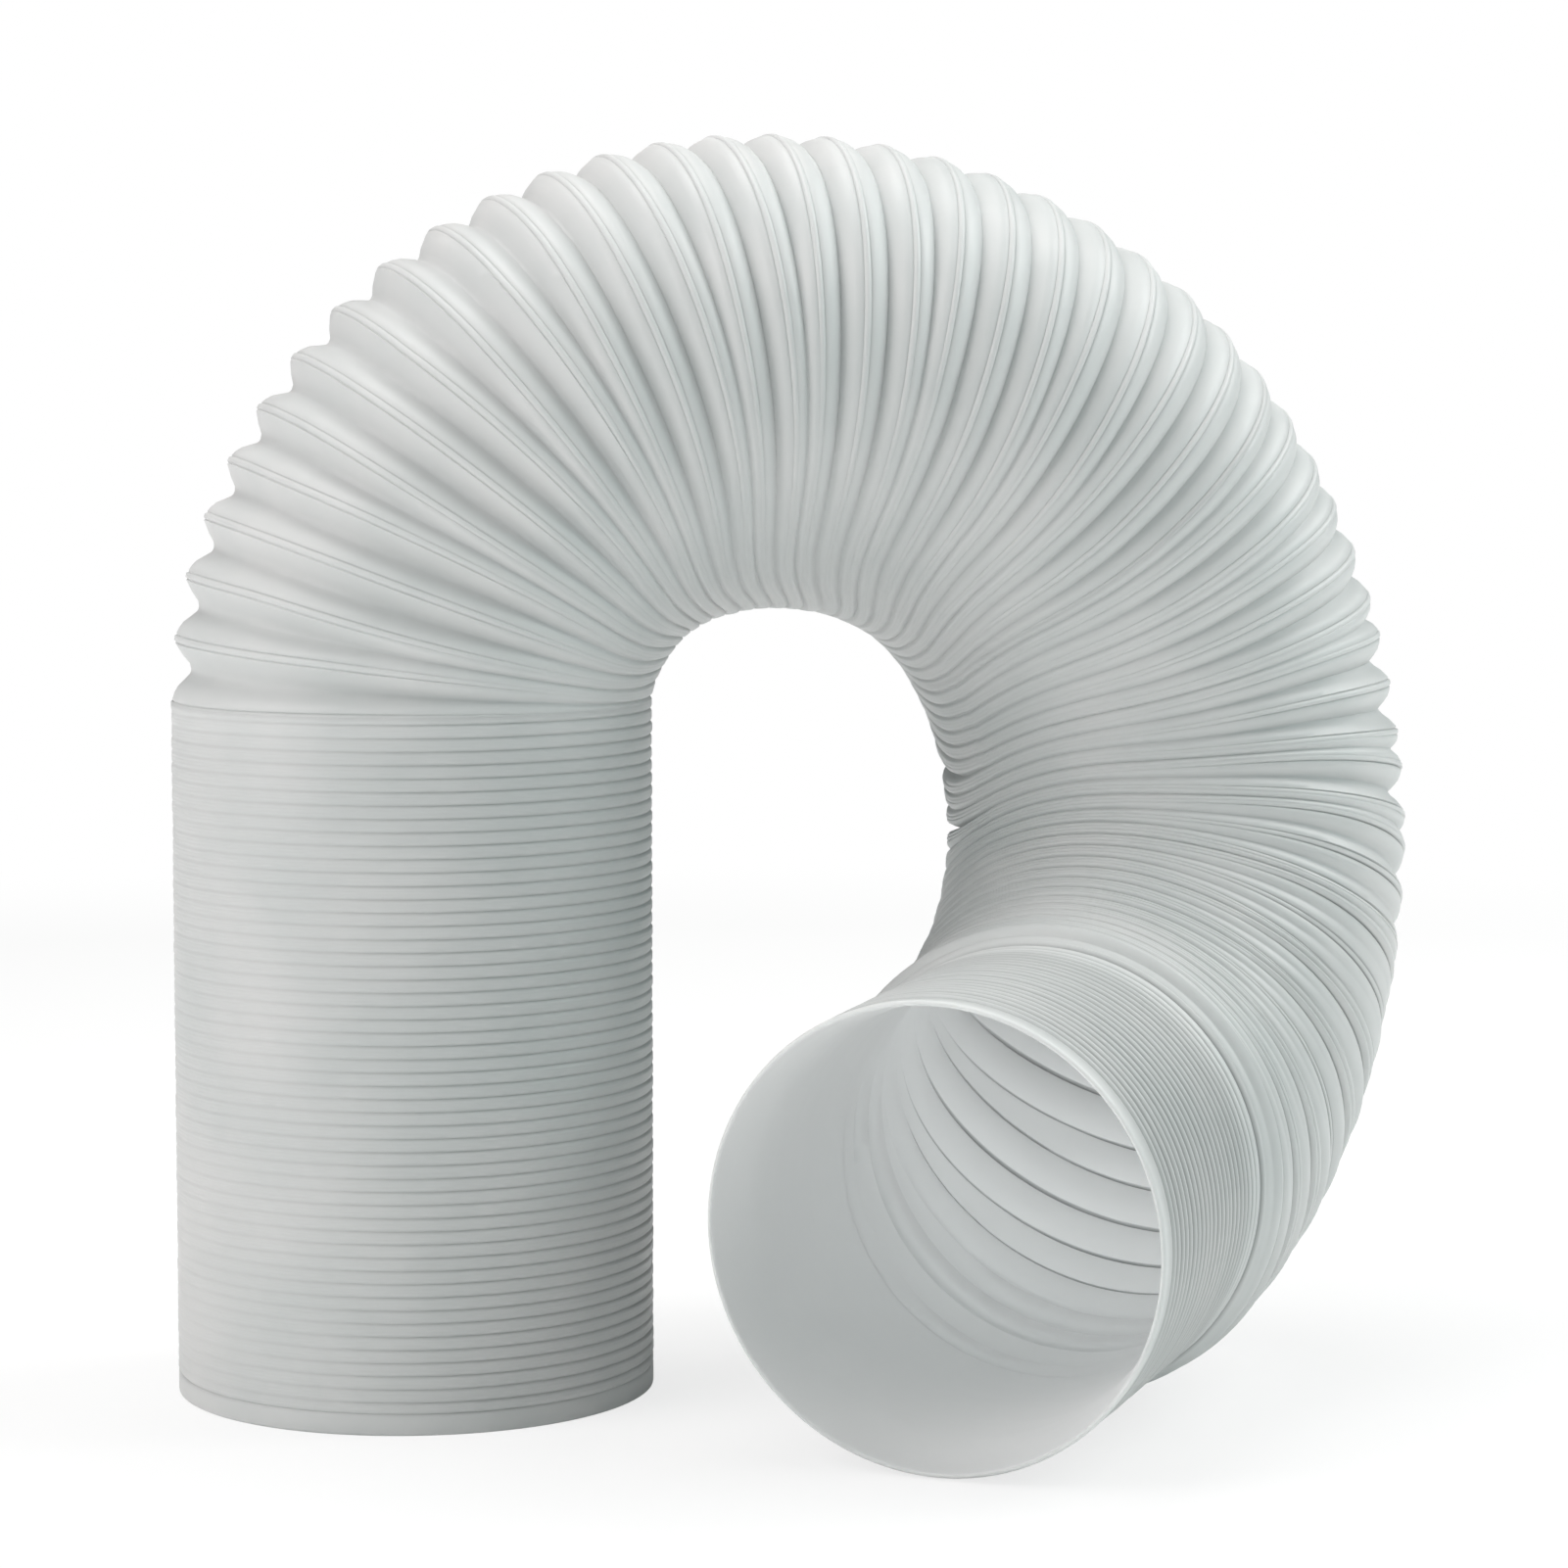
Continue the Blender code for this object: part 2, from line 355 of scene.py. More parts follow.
class Spine:
    """The whole centreline, by arc length from the top of the column."""

    def __init__(self, foot):
        up = np.array([0.0, 0.0, 1.0])
        curve = smooth_curve(route_points(), up, end_direction(), ROUTE_SAMPLES)
        self.open_length = np.linalg.norm(np.diff(curve, axis=0), axis=1).sum()
        below = np.linspace(-COLUMN_HEIGHT, 0.0, COLUMN_SAMPLES)[:-1]
        beyond = np.linspace(0.0, END_LENGTH, END_SAMPLES)[1:]
        column = curve[0] + below[:, None] * up
        end = curve[-1] + beyond[:, None] * end_direction()
        self.places = np.vstack([column, curve, end]) + foot
        steps = np.linalg.norm(np.diff(self.places, axis=0), axis=1)
        self.lengths = np.concatenate([[0.0], np.cumsum(steps)]) - COLUMN_HEIGHT
        heads = np.gradient(self.places, self.lengths, axis=0)
        self.heads = heads / np.linalg.norm(heads, axis=1)[:, None]
        self.bends = np.gradient(self.heads, self.lengths, axis=0)
        self.sides = self.carried_sides()
        self.others = np.cross(self.heads, self.sides)
        self.cosines = np.cos(side_angles())
        self.sines = np.sin(side_angles())

    def carried_sides(self):
        """The +X direction of the column, carried along the curve without twist."""
        sides = [np.array([1.0, 0.0, 0.0])]
        for head in self.heads[1:]:
            side = sides[-1] - sides[-1].dot(head) * head
            sides.append(side / np.linalg.norm(side))
        return np.array(sides)

    def sample(self, table, along):
        return np.stack([np.interp(along, self.lengths, table[:, axis]) for axis in range(3)], axis=-1)

    def crosswise(self, along):
        side = self.sample(self.sides, along)
        other = self.sample(self.others, along)
        return self.cosines[:, None] * side + self.sines[:, None] * other

    def squeeze(self, along):
        """Length on the crests for one unit of arc length: below 1 on the inner side of a bend."""
        bend = self.sample(self.bends, along)
        return 1 - CREST_RADIUS * np.sum(self.crosswise(along) * bend, axis=-1)

    def sweep(self, along, radius):
        return self.sample(self.places, along) + radius[..., None] * self.crosswise(along)


def along_waves(table, phase):
    """Value at a phase from a table of shares and values along the open waves."""
    shares, values = zip(*table)
    return np.interp(phase / OPEN_WAVES, shares, values)


def even_crests(spine):
    """Arc length of each crest if the waves opened evenly, as a column for all sides."""
    column = [-COLUMN_HEIGHT + FOOT_BAND + CLOSED_PITCH * wave for wave in range(COLUMN_WAVES)]
    phases = np.linspace(0.0, OPEN_WAVES, ROUTE_SAMPLES)
    pitches = along_waves(PITCH_ALONG, phases)
    run = np.concatenate([[0.0], np.cumsum((pitches[1:] + pitches[:-1]) / 2)])
    opened = [np.interp(wave, phases, spine.open_length * run / run[-1]) for wave in range(OPEN_WAVES)]
    end = [spine.open_length + CLOSED_PITCH * wave for wave in range(END_WAVES + 1)]
    crests = np.array(column + opened + end)
    return np.repeat(crests[:, None], SIDES, axis=1)


def golden_sequence(count, start):
    """Numbers from 0 to 1 that are spread well among neighbours."""
    golden = (math.sqrt(5) - 1) / 2
    return (start - golden * np.arange(count)) % 1.0


def crest_shifts(spine):
    """Share by which each crest leans forwards or back, in front and at the back of the hose."""
    front = golden_sequence(OPEN_WAVES + 1, FRONT_START)[:, None]
    back = golden_sequence(OPEN_WAVES + 1, BACK_START)[:, None]
    share = smooth_step(-FRONT_TO_BACK, FRONT_TO_BACK, spine.sines)[None, :]
    return 2 * (front + (back - front) * share) - 1


def dent_share():
    """How much of a sprung fold shows on each side of the hose."""
    return np.exp(-((side_angles() - DENT_SIDE) / DENT_SPREAD) ** 2)


def uneven_crests(spine, crests):
    """Moves the open crests: half way round the hose some folds have opened more than others."""
    first, last = COLUMN_WAVES, COLUMN_WAVES + OPEN_WAVES
    opened = crests[first:last + 1]
    squeeze = spine.squeeze(opened)
    pitch = np.gradient(opened, axis=0) * squeeze
    openness = np.clip((pitch - CLOSED_PITCH) / (WIDEST_PITCH - CLOSED_PITCH), 0.0, 1.0)
    freedom = (4 * openness * (1 - openness)) ** SHIFT_FALL
    strength = LARGEST_SHIFT * along_waves(SHIFT_ALONG, np.arange(OPEN_WAVES + 1))[:, None]
    moved = strength * freedom * crest_shifts(spine) / squeeze
    moved[0] = 0.0
    moved[-1] = 0.0
    middles = (opened[:-1] + opened[1:]) / 2
    squeeze = spine.squeeze(middles)
    spare = np.diff(opened + moved, axis=0) * squeeze - LEAST_PITCH
    pitches = LEAST_PITCH + SOFTNESS * np.logaddexp(0, spare / SOFTNESS)
    for wave, _, longer in DENTS:
        pitches[wave] += longer * dent_share()
    steps = pitches / squeeze
    steps *= (opened[-1] - opened[0]) / steps.sum(axis=0)
    result = crests.copy()
    result[first + 1:last + 1] = opened[0] + np.cumsum(steps, axis=0)
    return result


def gentle_noise(rows, size, seed):
    """Smooth random numbers round the hose, between 0 and size, new for every row."""
    random = np.random.default_rng(seed)
    ripples = np.zeros((rows, SIDES))
    for turns in RIPPLE_TURNS:
        phase = random.uniform(0, 2 * math.pi, (rows, 1))
        strength = random.uniform(LEAST_RIPPLE, 1.0, (rows, 1)) / turns
        ripples += strength * np.cos(turns * side_angles()[None, :] + phase)
    ripples -= ripples.min()
    return size * ripples / ripples.max()


class Waves:
    """Crests, pitches and depths of all waves, each a table of waves by sides."""

    def __init__(self, spine):
        self.spine = spine
        even = even_crests(spine)
        self.crests = uneven_crests(spine, even)
        self.count = len(self.crests) - 1
        middles = (self.crests[:-1] + self.crests[1:]) / 2
        self.squeeze = spine.squeeze(middles)
        self.pitch = np.diff(self.crests, axis=0) * self.squeeze
        self.openness = smooth_step(CLOSED_PITCH, FULLY_OPEN_PITCH, self.pitch)
        phase = np.arange(self.count)[:, None] - COLUMN_WAVES
        open_depth = WAVE_DEPTH * along_waves(DEPTH_ALONG, phase)
        column_depth = COLUMN_GROOVE_DEPTH * (1 + COLUMN_GROOVE_CHANGE * spine.cosines)
        shut_depth = np.where(phase < 0, column_depth, CLOSED_RELIEF)
        self.depth = shut_depth + (open_depth - shut_depth) * self.openness ** DEPTH_GROWTH
        for wave, deeper, _ in DENTS:
            self.depth[COLUMN_WAVES + wave] += deeper * dent_share()
        self.radius = self.crest_radius()
        self.land = self.bore_land(even, phase)

    def crest_radius(self):
        """Radius of each crest, which narrows to the end section."""
        crest = np.arange(self.count + 1)[:, None]
        bottom = COLUMN_WAVES + OPEN_WAVES
        share = smooth_step(bottom - NECK_BEFORE, bottom + NECK_AFTER, crest)
        even = CREST_RADIUS + (END_RADIUS - CREST_RADIUS) * share
        return even - gentle_noise(self.count + 1, CREST_UNEVENNESS, RIPPLE_SEED)

    def bore_land(self, even, phase):
        """Radius of the bore's lands: as if all waves opened evenly, but clear of the outer skin."""
        squeeze = self.spine.squeeze((even[:-1] + even[1:]) / 2)
        opened = smooth_step(CLOSED_PITCH, FULLY_OPEN_PITCH, np.diff(even, axis=0) * squeeze)
        open_depth = WAVE_DEPTH * along_waves(BORE_DEPTH_ALONG, phase)
        depth = CLOSED_RELIEF + (open_depth - CLOSED_RELIEF) * opened
        packed = (WAVE_DEPTH - depth) * (1 - opened)
        furthest = CREST_RADIUS - CREST_UNEVENNESS - self.depth - WALL
        return np.minimum(CREST_RADIUS - depth - WALL - packed, furthest)


def crease(waves, crest):
    """Radius at a crest that two pieces share, the same from both sides."""
    if crest in (0, COLUMN_WAVES, waves.count):
        return waves.radius[crest]
    share = along_waves(BULGE_ALONG, crest - COLUMN_WAVES)
    return waves.radius[crest] - BULGE_DEPTH * share * waves.openness[crest - 1]


def outer_rings(waves, first, last, profile, fold_shade):
    """Rings of the outer skin from one crest to another: arc length, radius and share of painted shade.
    """
    rings = [(waves.crests[first], crease(waves, first), 0 * waves.radius[first])]
    for wave in range(first, last):
        here, there = waves.crests[wave], waves.crests[wave + 1]
        this_crest, next_crest = waves.radius[wave], waves.radius[wave + 1]
        opened = waves.openness[wave]
        lobed = along_waves(LOBE_ALONG, wave - COLUMN_WAVES)
        bulge = opened * along_waves(BULGE_ALONG, wave - COLUMN_WAVES)
        this_crest = this_crest - BULGE_DEPTH * bulge
        next_crest = next_crest - BULGE_DEPTH * bulge
        step = BEAD_HEIGHT * opened * (1 - bulge)
        clearness = SHUT_GROOVE_SHARE + (1 - SHUT_GROOVE_SHARE) * opened
        deepening = clearness * along_waves(GROOVE_ALONG, wave - COLUMN_WAVES)
        groove = step + BEAD_GROOVE_DEPTH * deepening
        breadth = (SHUT_BEAD_SHARE + (1 - SHUT_BEAD_SHARE) * opened) / waves.squeeze[wave]
        top = BEAD_TOP_HALF_WIDTH * breadth
        foot = BEAD_HALF_WIDTH * breadth
        start = foot + BEAD_GROOVE_WIDTH * breadth * (1 + bulge)
        rings.append((here + top, this_crest, 0 * opened))
        # Painted shade along the bead's grooves, darker where they run deeper
        rings.append((here + foot, this_crest - groove, GROOVE_SHADE * deepening**2))
        for share, shut_depth, round_depth, lobe_depth in profile:
            along = here + start + share * (there - here - 2 * start)
            open_depth = round_depth + (lobe_depth - round_depth) * lobed
            fold = shut_depth + (open_depth - shut_depth) * opened
            base = this_crest + (next_crest - this_crest) * share
            sunk = step + (waves.depth[wave] - step) * fold
            risen = BULGE_DEPTH * math.sin(math.pi * share)
            radius = base - sunk * (1 - bulge) + risen * bulge
            # Painted shade: more the deeper into the fold, a dark line in the bottom of lobed valleys,
            # none on the elbow's bulges
            valley = VALLEY_SHADE * lobed * fold**VALLEY_SHARPNESS * opened
            rings.append((along, radius, (fold_shade * fold + valley) * (1 - bulge)))
        rings.append((there - foot, next_crest - groove, GROOVE_SHADE * deepening**2))
        rings.append((there - top, next_crest, 0 * opened))
    rings.append((waves.crests[last], crease(waves, last), 0 * waves.radius[last]))
    return rings


def inner_rings(waves, first, last):
    """Rings of the inner skin: smooth lands with a narrow slit behind every crest that opens, with shade
    painted into it.
    """
    rings = []
    bottom = COLUMN_WAVES + OPEN_WAVES
    for wave in range(first, last):
        here, there = waves.crests[wave], waves.crests[wave + 1]
        narrowing = smooth_step(bottom - NARROWING_WAVES, bottom, wave + 1)
        land = waves.land[wave] + (END_BORE_RADIUS - waves.land[wave]) * narrowing
        gap = smooth_step(LEAST_SLIT_PITCH, FULL_SLIT_PITCH, waves.pitch[wave])
        half = (LEAST_SLIT_WIDTH + SLIT_WIDTH * gap) / 2 / waves.squeeze[wave]
        bulge = along_waves(BULGE_ALONG, wave - COLUMN_WAVES)
        depth = (CREST_RADIUS - WALL - CREST_UNEVENNESS - BULGE_DEPTH * bulge - land) * gap
        # Painted shade in the slit, darker the wider it opens
        dark = SLIT_SHADE * gap
        for away, deep, shaded in SLIT_PROFILE:
            rings.append((here + away * half, land + deep * depth, shaded * dark))
        for away, deep, shaded in SLIT_PROFILE[:0:-1]:
            rings.append((there - away * half, land + deep * depth, shaded * dark))
    rings.append((waves.crests[last], land + depth, dark))
    return rings


def smooth_bore(waves, first, last, radius, mouth):
    """Rings of an inner skin whose folds are shut, with hardly a line to see."""
    rings = []
    for wave in range(first, last):
        here, there = waves.crests[wave], waves.crests[wave + 1]
        middle = (here + there) / 2
        rings.append(plain_ring(here, radius + flare(here, mouth)))
        rings.append(plain_ring(middle, radius + flare(middle, mouth) - SHUT_LINE_DEPTH))
    there = waves.crests[last]
    rings.append(plain_ring(there, radius + flare(there, mouth)))
    return rings


def flare(along, mouth):
    """How much wider the bore is near the mouth."""
    return MOUTH_FLARE * smooth_step(mouth - FLARE_LENGTH, mouth, along)


def lip_bore(mouth):
    """Rings of the bore under the lip."""
    rings = []
    for before in LIP_BORE_PLACES:
        along = mouth - before
        rings.append(plain_ring(along, END_BORE_RADIUS + flare(along, mouth)))
    return rings


def plain_ring(along, radius, shade=0.0):
    every = np.ones(SIDES)
    return along * every, radius * every, shade * every


def plain_stretch(start, way, radius, profile):
    """Plain rings at a profile's distances from a start, one way or the other along the hose, with shade
    painted into their grooves.
    """
    rings = []
    for distance, inside, shaded in profile:
        rings.append(plain_ring(start + way * distance, radius - inside, shaded * GROOVE_SHADE))
    return rings


def foot_rings():
    """Plain band at the foot, with its cut edge slightly broken."""
    edge = plain_stretch(-COLUMN_HEIGHT, 1, CREST_RADIUS, FOOT_EDGE)
    groove = plain_stretch(FOOT_BAND - COLUMN_HEIGHT, -1, CREST_RADIUS, FOOT_GROOVE)
    return edge + groove


def lip_rings(mouth):
    """Groove, plain band and rounded lip."""
    groove = plain_stretch(mouth - MOUTH_LIP, 1, END_RADIUS, LIP_GROOVE)
    edge = plain_stretch(mouth, -1, END_RADIUS, LIP_EDGE)
    return groove + edge


def painted_shade_share(along):
    """Share of painted shade laid over whole stretches of the outer skin, by arc length."""
    places, shares = zip(*PAINTED_SHADE_BY_LENGTH)
    return np.interp(along, places, shares)


def make_piece(name, spine, outer, inner, material):
    """One closed skin from the rings of its outer side and those of its bore."""
    rings = outer + inner[::-1]
    along = np.array([ring[0] for ring in rings])
    radius = np.array([ring[1] for ring in rings])
    shade = np.array([ring[2] for ring in rings])
    bore = np.zeros_like(radius)
    bore[len(outer):] = 1.0
    # Painted shade over whole stretches of the outer skin, added to the shade painted in its folds and
    # grooves
    painted_dark = painted_shade_share(along) * (1 - bore)
    shade = painted_dark + (1 - painted_dark) * shade
    points = spine.sweep(along, radius)
    count = len(rings)
    here = np.arange(count)[:, None] * SIDES
    there = (np.arange(count)[:, None] + 1) % count * SIDES
    side = np.arange(SIDES)[None, :]
    following = (side + 1) % SIDES
    faces = np.stack([here + side, here + following, there + following, there + side], axis=-1)
    mesh = bpy.data.meshes.new(name)
    mesh.from_pydata(points.reshape(-1, 3).tolist(), [], faces.reshape(-1, 4).tolist())
    unbent = np.stack([spine.cosines * radius, spine.sines * radius, along], axis=-1)
    lay = mesh.attributes.new("unbent", "FLOAT_VECTOR", "POINT")
    lay.data.foreach_set("vector", unbent.reshape(-1).astype(np.float32))
    for label, values in (("shade", shade), ("bore", bore)):
        layer = mesh.attributes.new(label, "FLOAT", "POINT")
        layer.data.foreach_set("value", values.reshape(-1).astype(np.float32))
    mesh.materials.append(material)
    mesh.shade_smooth()
    mesh.set_sharp_from_angle(angle=SHARP_ANGLE)
    piece = bpy.data.objects.new(name, mesh)
    bpy.context.scene.collection.objects.link(piece)
    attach(piece, "root")
    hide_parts("hose")


def make_hose(foot, material):
    """The hose in four pieces that meet edge to edge; gives back its centreline."""
    spine = Spine(foot)
    waves = Waves(spine)
    top = COLUMN_WAVES
    middle = COLUMN_WAVES + OPEN_WAVES // 2
    bottom = COLUMN_WAVES + OPEN_WAVES
    last = bottom + END_WAVES
    mouth = spine.open_length + END_LENGTH

    around = side_angles()
    # Painted shade in the column's folds, heavier on one side
    column_shade = COLUMN_SHADE * (1 + COLUMN_SHADE_CHANGE * np.cos(around - COLUMN_SHADE_SIDE))
    column = foot_rings() + outer_rings(waves, 0, top, COARSE_PROFILE, column_shade)
    bore = [plain_ring(-COLUMN_HEIGHT, FOLD_RADIUS)] + smooth_bore(waves, 0, top, FOLD_RADIUS, mouth)
    make_piece("hose_column", spine, column, bore, material)

    arch = outer_rings(waves, top, middle, WAVE_PROFILE, FOLD_SHADE)
    make_piece("hose_arch", spine, arch, inner_rings(waves, top, middle), material)

    leg = outer_rings(waves, middle, bottom, WAVE_PROFILE, FOLD_SHADE)
    make_piece("hose_leg", spine, leg, inner_rings(waves, middle, bottom), material)

    # Painted shade in the end section's folds, heavier on one side
    end_shade = END_SHADE * (1 + END_SHADE_CHANGE * np.cos(around - END_SHADE_SIDE))
    end = outer_rings(waves, bottom, last, COARSE_PROFILE, end_shade) + lip_rings(mouth)
    end_bore = smooth_bore(waves, bottom, last, END_BORE_RADIUS, mouth) + lip_bore(mouth)
    make_piece("hose_end", spine, end, end_bore, material)
    return spine


def new_material(name):
    material = bpy.data.materials.new(name)
    material.use_nodes = True
    nodes = material.node_tree.nodes
    return material, nodes, material.node_tree.links, nodes["Principled BSDF"]


def noise(nodes, links, vector, scale, stretch, detail=3.0):
    """Noise in the unbent shape of the hose; stretch draws it out along or across."""
    mapping = nodes.new("ShaderNodeMapping")
    mapping.inputs["Scale"].default_value = stretch
    texture = nodes.new("ShaderNodeTexNoise")
    texture.inputs["Scale"].default_value = scale
    texture.inputs["Detail"].default_value = detail
    links.new(vector, mapping.inputs["Vector"])
    links.new(mapping.outputs["Vector"], texture.inputs["Vector"])
    return texture.outputs["Fac"]


def remap(nodes, links, value, low, high):
    """Spreads a noise value, which seldom leaves NOISE_LOW to NOISE_HIGH, between two numbers."""
    node = nodes.new("ShaderNodeMapRange")
    node.inputs["From Min"].default_value = NOISE_LOW
    node.inputs["From Max"].default_value = NOISE_HIGH
    node.inputs["To Min"].default_value = low
    node.inputs["To Max"].default_value = high
    links.new(value, node.inputs["Value"])
    return node.outputs["Result"]


def mixed(nodes, links, share, first, second):
    """Mix of two colours, each a socket or a fixed colour, by a share from a socket."""
    node = nodes.new("ShaderNodeMix")
    node.data_type = "RGBA"
    # Of a colour mix, input 0 is the share, 6 and 7 are the colours, and output 2 is the result
    links.new(share, node.inputs[0])
    for socket, colour in ((node.inputs[6], first), (node.inputs[7], second)):
        if isinstance(colour, tuple):
            socket.default_value = (*colour, 1)
        else:
            links.new(colour, socket)
    return node.outputs[2]


def moulded_plastic():
    """Satin white-grey polypropylene with faint mould streaks and cloudiness, shade painted into its
    folds, grooves and slits, and a bore painted lighter.
    """
    material, nodes, links, shader = new_material("moulded_plastic")
    lay, shade, bore = (nodes.new("ShaderNodeAttribute") for _ in range(3))
    lay.attribute_name = "unbent"
    shade.attribute_name = "shade"
    bore.attribute_name = "bore"
    place = lay.outputs["Vector"]

    clouds = noise(nodes, links, place, CLOUD_SCALE, EVEN_STRETCH)
    cloudiness = remap(nodes, links, clouds, 0.0, 1.0)
    tint = mixed(nodes, links, cloudiness, DARKER_TINT, LIGHTER_TINT)
    # Painted light: the bore is coloured lighter than the outside
    light = mixed(nodes, links, bore.outputs["Fac"], tint, BORE_PAINTED_LIGHT_TINT)
    # Painted shade: the shade attribute darkens the colour towards a dark tint
    painted_dark = mixed(nodes, links, shade.outputs["Fac"], light, PAINTED_SHADE_TINT)
    links.new(painted_dark, shader.inputs["Base Color"])

    sheen = noise(nodes, links, place, SHEEN_SCALE, SHEEN_STRETCH)
    links.new(remap(nodes, links, sheen, SMOOTHEST, ROUGHEST), shader.inputs["Roughness"])

    streaks = noise(nodes, links, place, 1.0, STREAK_STRETCH, 2.0)
    grain = noise(nodes, links, place, GRAIN_SCALE, EVEN_STRETCH, 2.0)
    relief = nodes.new("ShaderNodeMath")
    relief.operation = "MULTIPLY_ADD"
    relief.inputs[1].default_value = GRAIN_SHARE
    links.new(grain, relief.inputs[0])
    links.new(streaks, relief.inputs[2])
    bump = nodes.new("ShaderNodeBump")
    bump.inputs["Strength"].default_value = BUMP_STRENGTH
    bump.inputs["Distance"].default_value = BUMP_DISTANCE
    links.new(relief.outputs["Value"], bump.inputs["Height"])
    links.new(bump.outputs["Normal"], shader.inputs["Normal"])

    shader.inputs["Metallic"].default_value = 0.0
    shader.inputs["IOR"].default_value = PLASTIC_IOR
    shader.inputs["Subsurface Weight"].default_value = SCATTER_SHARE
    shader.inputs["Subsurface Radius"].default_value = (1.0, 1.0, 1.0)
    shader.inputs["Subsurface Scale"].default_value = SCATTER_DEPTH
    return material


def pale_floor():
    """A wide pale floor that turns as bright as the surroundings away from the hose."""
    material, nodes, links, shader = new_material("studio_floor")
    shader.inputs["Base Color"].default_value = FLOOR_COLOUR
    shader.inputs["Roughness"].default_value = FLOOR_ROUGHNESS
    shader.inputs["Specular IOR Level"].default_value = FLOOR_SPECULAR
    shader.inputs["Emission Color"].default_value = WHITE
    shader.inputs["Emission Strength"].default_value = FLOOR_GLOW
    place = nodes.new("ShaderNodeTexCoord")
    distance = nodes.new("ShaderNodeVectorMath")
    distance.operation = "LENGTH"
    links.new(place.outputs["Object"], distance.inputs[0])
    glow = nodes.new("ShaderNodeMapRange")
    glow.interpolation_type = "SMOOTHSTEP"
    glow.inputs["From Min"].default_value = WHITE_START
    glow.inputs["From Max"].default_value = WHITE_END
    links.new(distance.outputs["Value"], glow.inputs["Value"])
    bright = nodes.new("ShaderNodeEmission")
    bright.inputs["Color"].default_value = WHITE
    path = nodes.new("ShaderNodeLightPath")
    lifted = nodes.new("ShaderNodeMath")
    lifted.operation = "MULTIPLY"
    lifted.inputs[1].default_value = FLOOR_LIFT
    links.new(path.outputs["Is Camera Ray"], lifted.inputs[0])
    share = nodes.new("ShaderNodeMath")
    share.operation = "MAXIMUM"
    links.new(lifted.outputs["Value"], share.inputs[0])
    links.new(glow.outputs["Result"], share.inputs[1])
    mix = nodes.new("ShaderNodeMixShader")
    links.new(share.outputs["Value"], mix.inputs[0])
    links.new(shader.outputs[0], mix.inputs[1])
    links.new(bright.outputs[0], mix.inputs[2])
    links.new(mix.outputs[0], nodes["Material Output"].inputs["Surface"])

    half = FLOOR_HALF_SIZE
    mesh = bpy.data.meshes.new("floor")
    corners = [(-half, -half, 0), (half, -half, 0), (half, half, 0), (-half, half, 0)]
    mesh.from_pydata(corners, [], [(0, 1, 2, 3)])
    mesh.materials.append(material)
    floor = bpy.data.objects.new("floor", mesh)
    bpy.context.scene.collection.objects.link(floor)


def area_light(name, place, power, colour):
    light = bpy.data.lights.new(name, "AREA")
    light.shape = "SQUARE"
    light.size = LAMP_SIZE
    light.energy = power
    light.color = colour
    lamp = bpy.data.objects.new(name, light)
    lamp.location = place
    lamp.rotation_euler = shine_along(np.array(LAMP_AIM) - np.array(place))
    lamp.visible_camera = False
    bpy.context.scene.collection.objects.link(lamp)


def mouth_spot(mouth, outwards):
    """A narrow light from in front of the open end, for the wall of the elbow behind it."""
    light = bpy.data.lights.new("mouth_spot", "SPOT")
    light.energy = MOUTH_SPOT
    light.color = INNER_LIGHT_COLOUR
    light.spot_size = 2 * math.atan(SPOT_RADIUS / SPOT_DISTANCE)
    light.spot_blend = SPOT_BLEND
    light.shadow_soft_size = SPOT_SOFTNESS
    lamp = bpy.data.objects.new("mouth_spot", light)
    lamp.location = mouth + SPOT_DISTANCE * outwards + np.array(SPOT_RISE)
    lamp.rotation_euler = shine_along(mouth - np.array(lamp.location))
    bpy.context.scene.collection.objects.link(lamp)


def bore_lamp(spine):
    """A small soft lamp in the elbow, in place of the daylight that comes through the thin wall."""
    light = bpy.data.lights.new("bore_lamp", "POINT")
    light.energy = BORE_LAMP
    light.color = INNER_LIGHT_COLOUR
    light.shadow_soft_size = BORE_LAMP_SOFTNESS
    lamp = bpy.data.objects.new("bore_lamp", light)
    lamp.location = spine.sample(spine.places, spine.open_length - BORE_LAMP_BACK)
    lamp.visible_camera = False
    bpy.context.scene.collection.objects.link(lamp)


def shine_along(aim):
    """Rotation of a lamp that shines along a direction."""
    level = math.hypot(aim[0], aim[1])
    tilt = math.atan2(level, -aim[2])
    turn = math.atan2(-aim[0], aim[1])
    return tilt, 0.0, turn


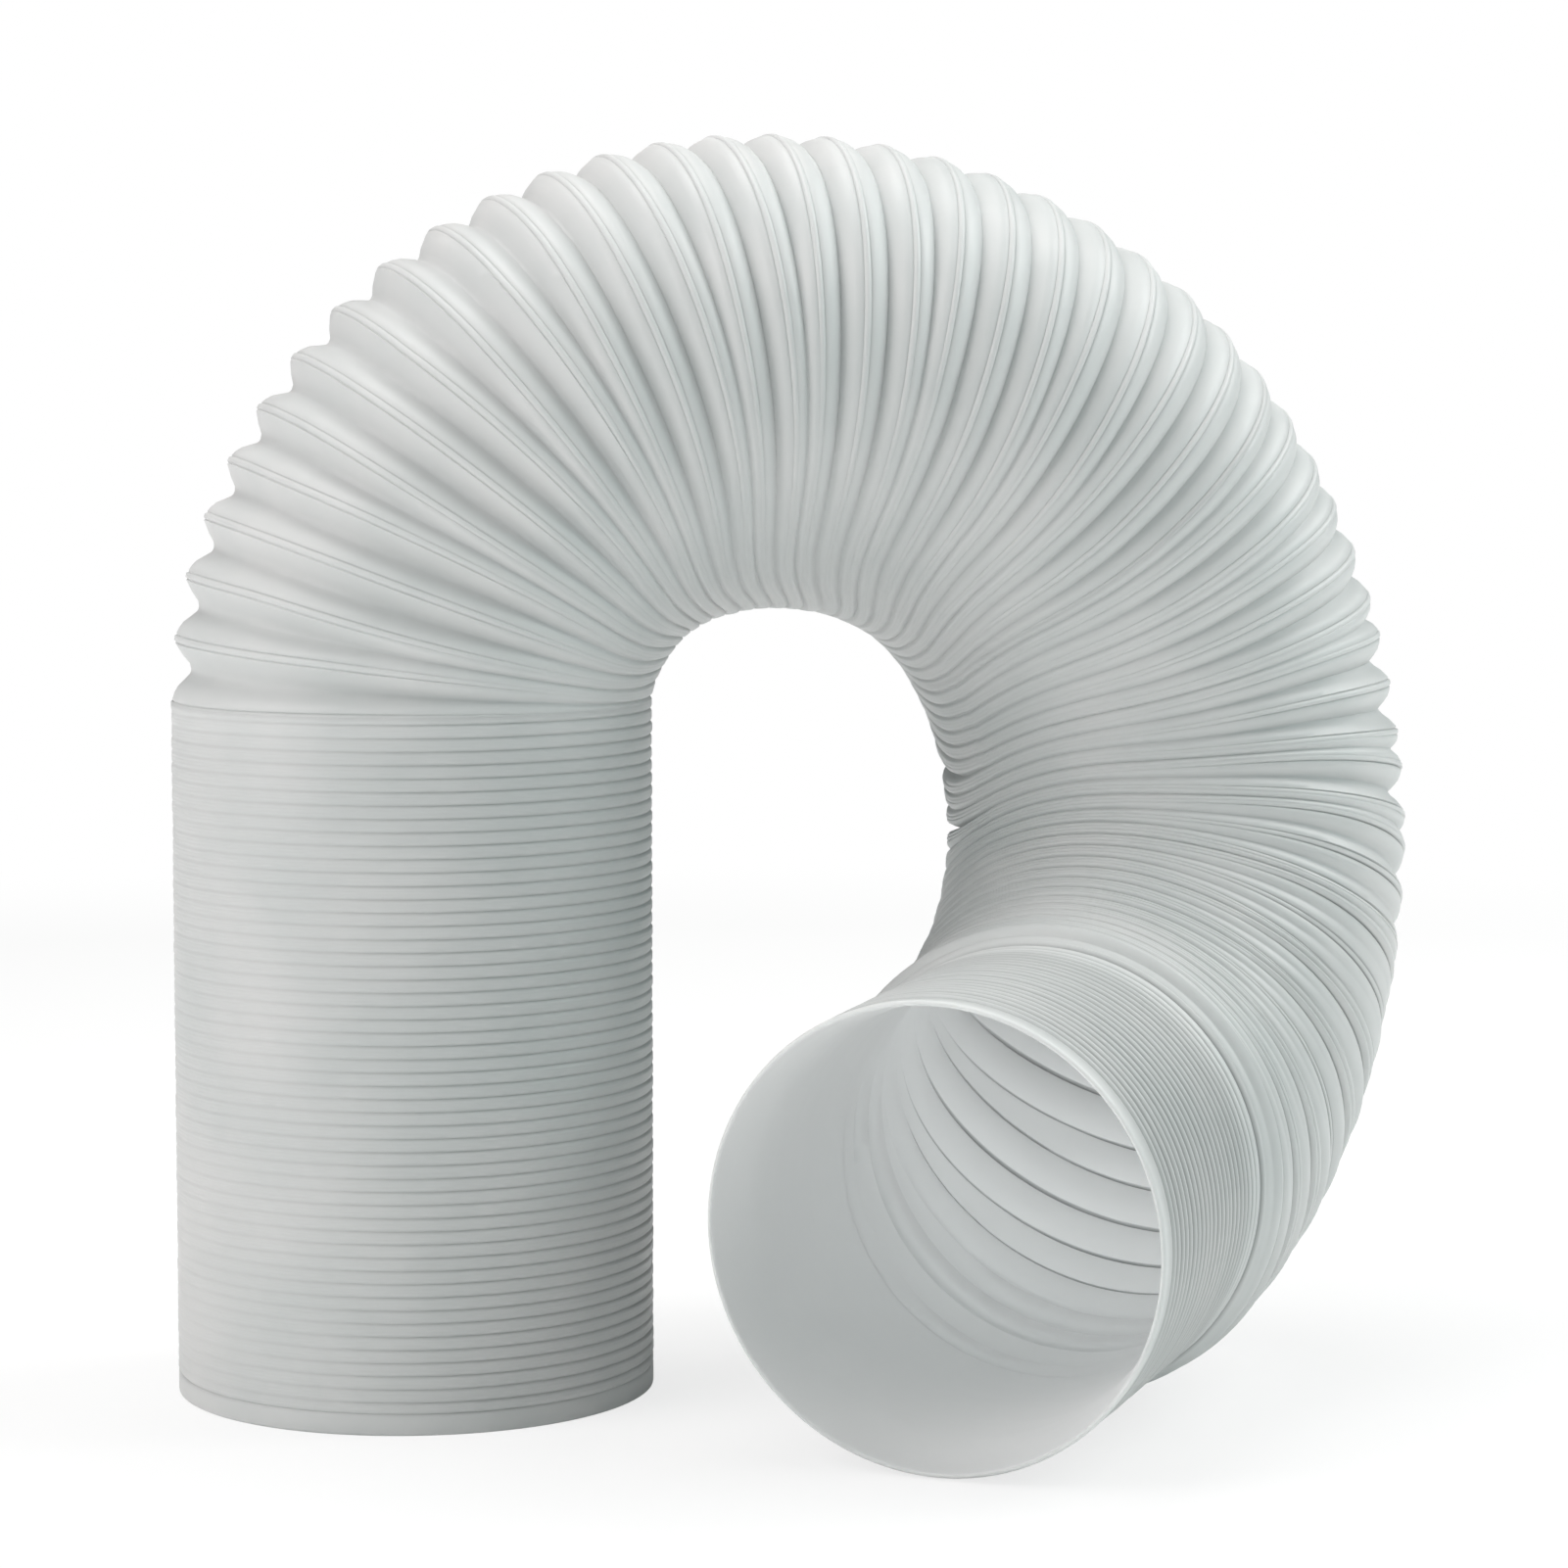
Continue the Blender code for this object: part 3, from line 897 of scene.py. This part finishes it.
def studio_light(spine):
    """Soft lamps round the hose, light into its open end and white surroundings."""
    for name, (place, power, colour) in LAMPS.items():
        area_light(name, place, power, colour)
    mouth_spot(spine.places[-1], end_direction())
    bore_lamp(spine)
    world = bpy.data.worlds.new("studio")
    world.use_nodes = True
    bpy.context.scene.world = world
    nodes = world.node_tree.nodes
    links = world.node_tree.links
    background = nodes["Background"]
    background.inputs["Color"].default_value = WORLD_COLOUR
    background.inputs["Strength"].default_value = WORLD_STRENGTH
    seen = nodes.new("ShaderNodeBackground")
    seen.inputs["Color"].default_value = WHITE
    path = nodes.new("ShaderNodeLightPath")
    mix = nodes.new("ShaderNodeMixShader")
    links.new(path.outputs["Is Camera Ray"], mix.inputs[0])
    links.new(background.outputs[0], mix.inputs[1])
    links.new(seen.outputs[0], mix.inputs[2])
    links.new(mix.outputs[0], nodes["World Output"].inputs["Surface"])


def photograph_camera(foot):
    """Camera at the photograph's viewing angle, placed from the column's axis on the floor."""
    camera = bpy.data.cameras.new("camera")
    camera.sensor_width = SENSOR_WIDTH
    camera.lens = LENS
    camera.dof.use_dof = False
    viewer = bpy.data.objects.new("camera", camera)
    viewer.location = foot + np.array(CAMERA_PLACE)
    viewer.rotation_euler = (math.radians(90 - CAMERA_DROP_DEGREES), 0.0, 0.0)
    bpy.context.scene.collection.objects.link(viewer)
    bpy.context.scene.camera = viewer


def foot_centre(node):
    """The column's axis on the floor, read from the solid's foot ring."""
    low = np.array([vertex.co[:] for vertex in node.data.vertices if vertex.co.z < FLOOR_TOLERANCE])
    middle = (low.min(axis=0) + low.max(axis=0)) / 2
    return np.array([middle[0], middle[1], 0.0])


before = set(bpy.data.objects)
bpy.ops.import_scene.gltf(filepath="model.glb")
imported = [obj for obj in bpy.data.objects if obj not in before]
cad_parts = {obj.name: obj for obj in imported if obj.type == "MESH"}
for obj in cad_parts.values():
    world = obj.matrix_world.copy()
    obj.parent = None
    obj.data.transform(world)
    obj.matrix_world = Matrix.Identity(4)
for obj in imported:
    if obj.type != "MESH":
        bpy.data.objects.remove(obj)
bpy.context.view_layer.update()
foot = foot_centre(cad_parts["hose"])
photograph_camera(foot)
spine = make_hose(foot, moulded_plastic())
pale_floor()
studio_light(spine)
bpy.context.scene.view_settings.view_transform = "Standard"
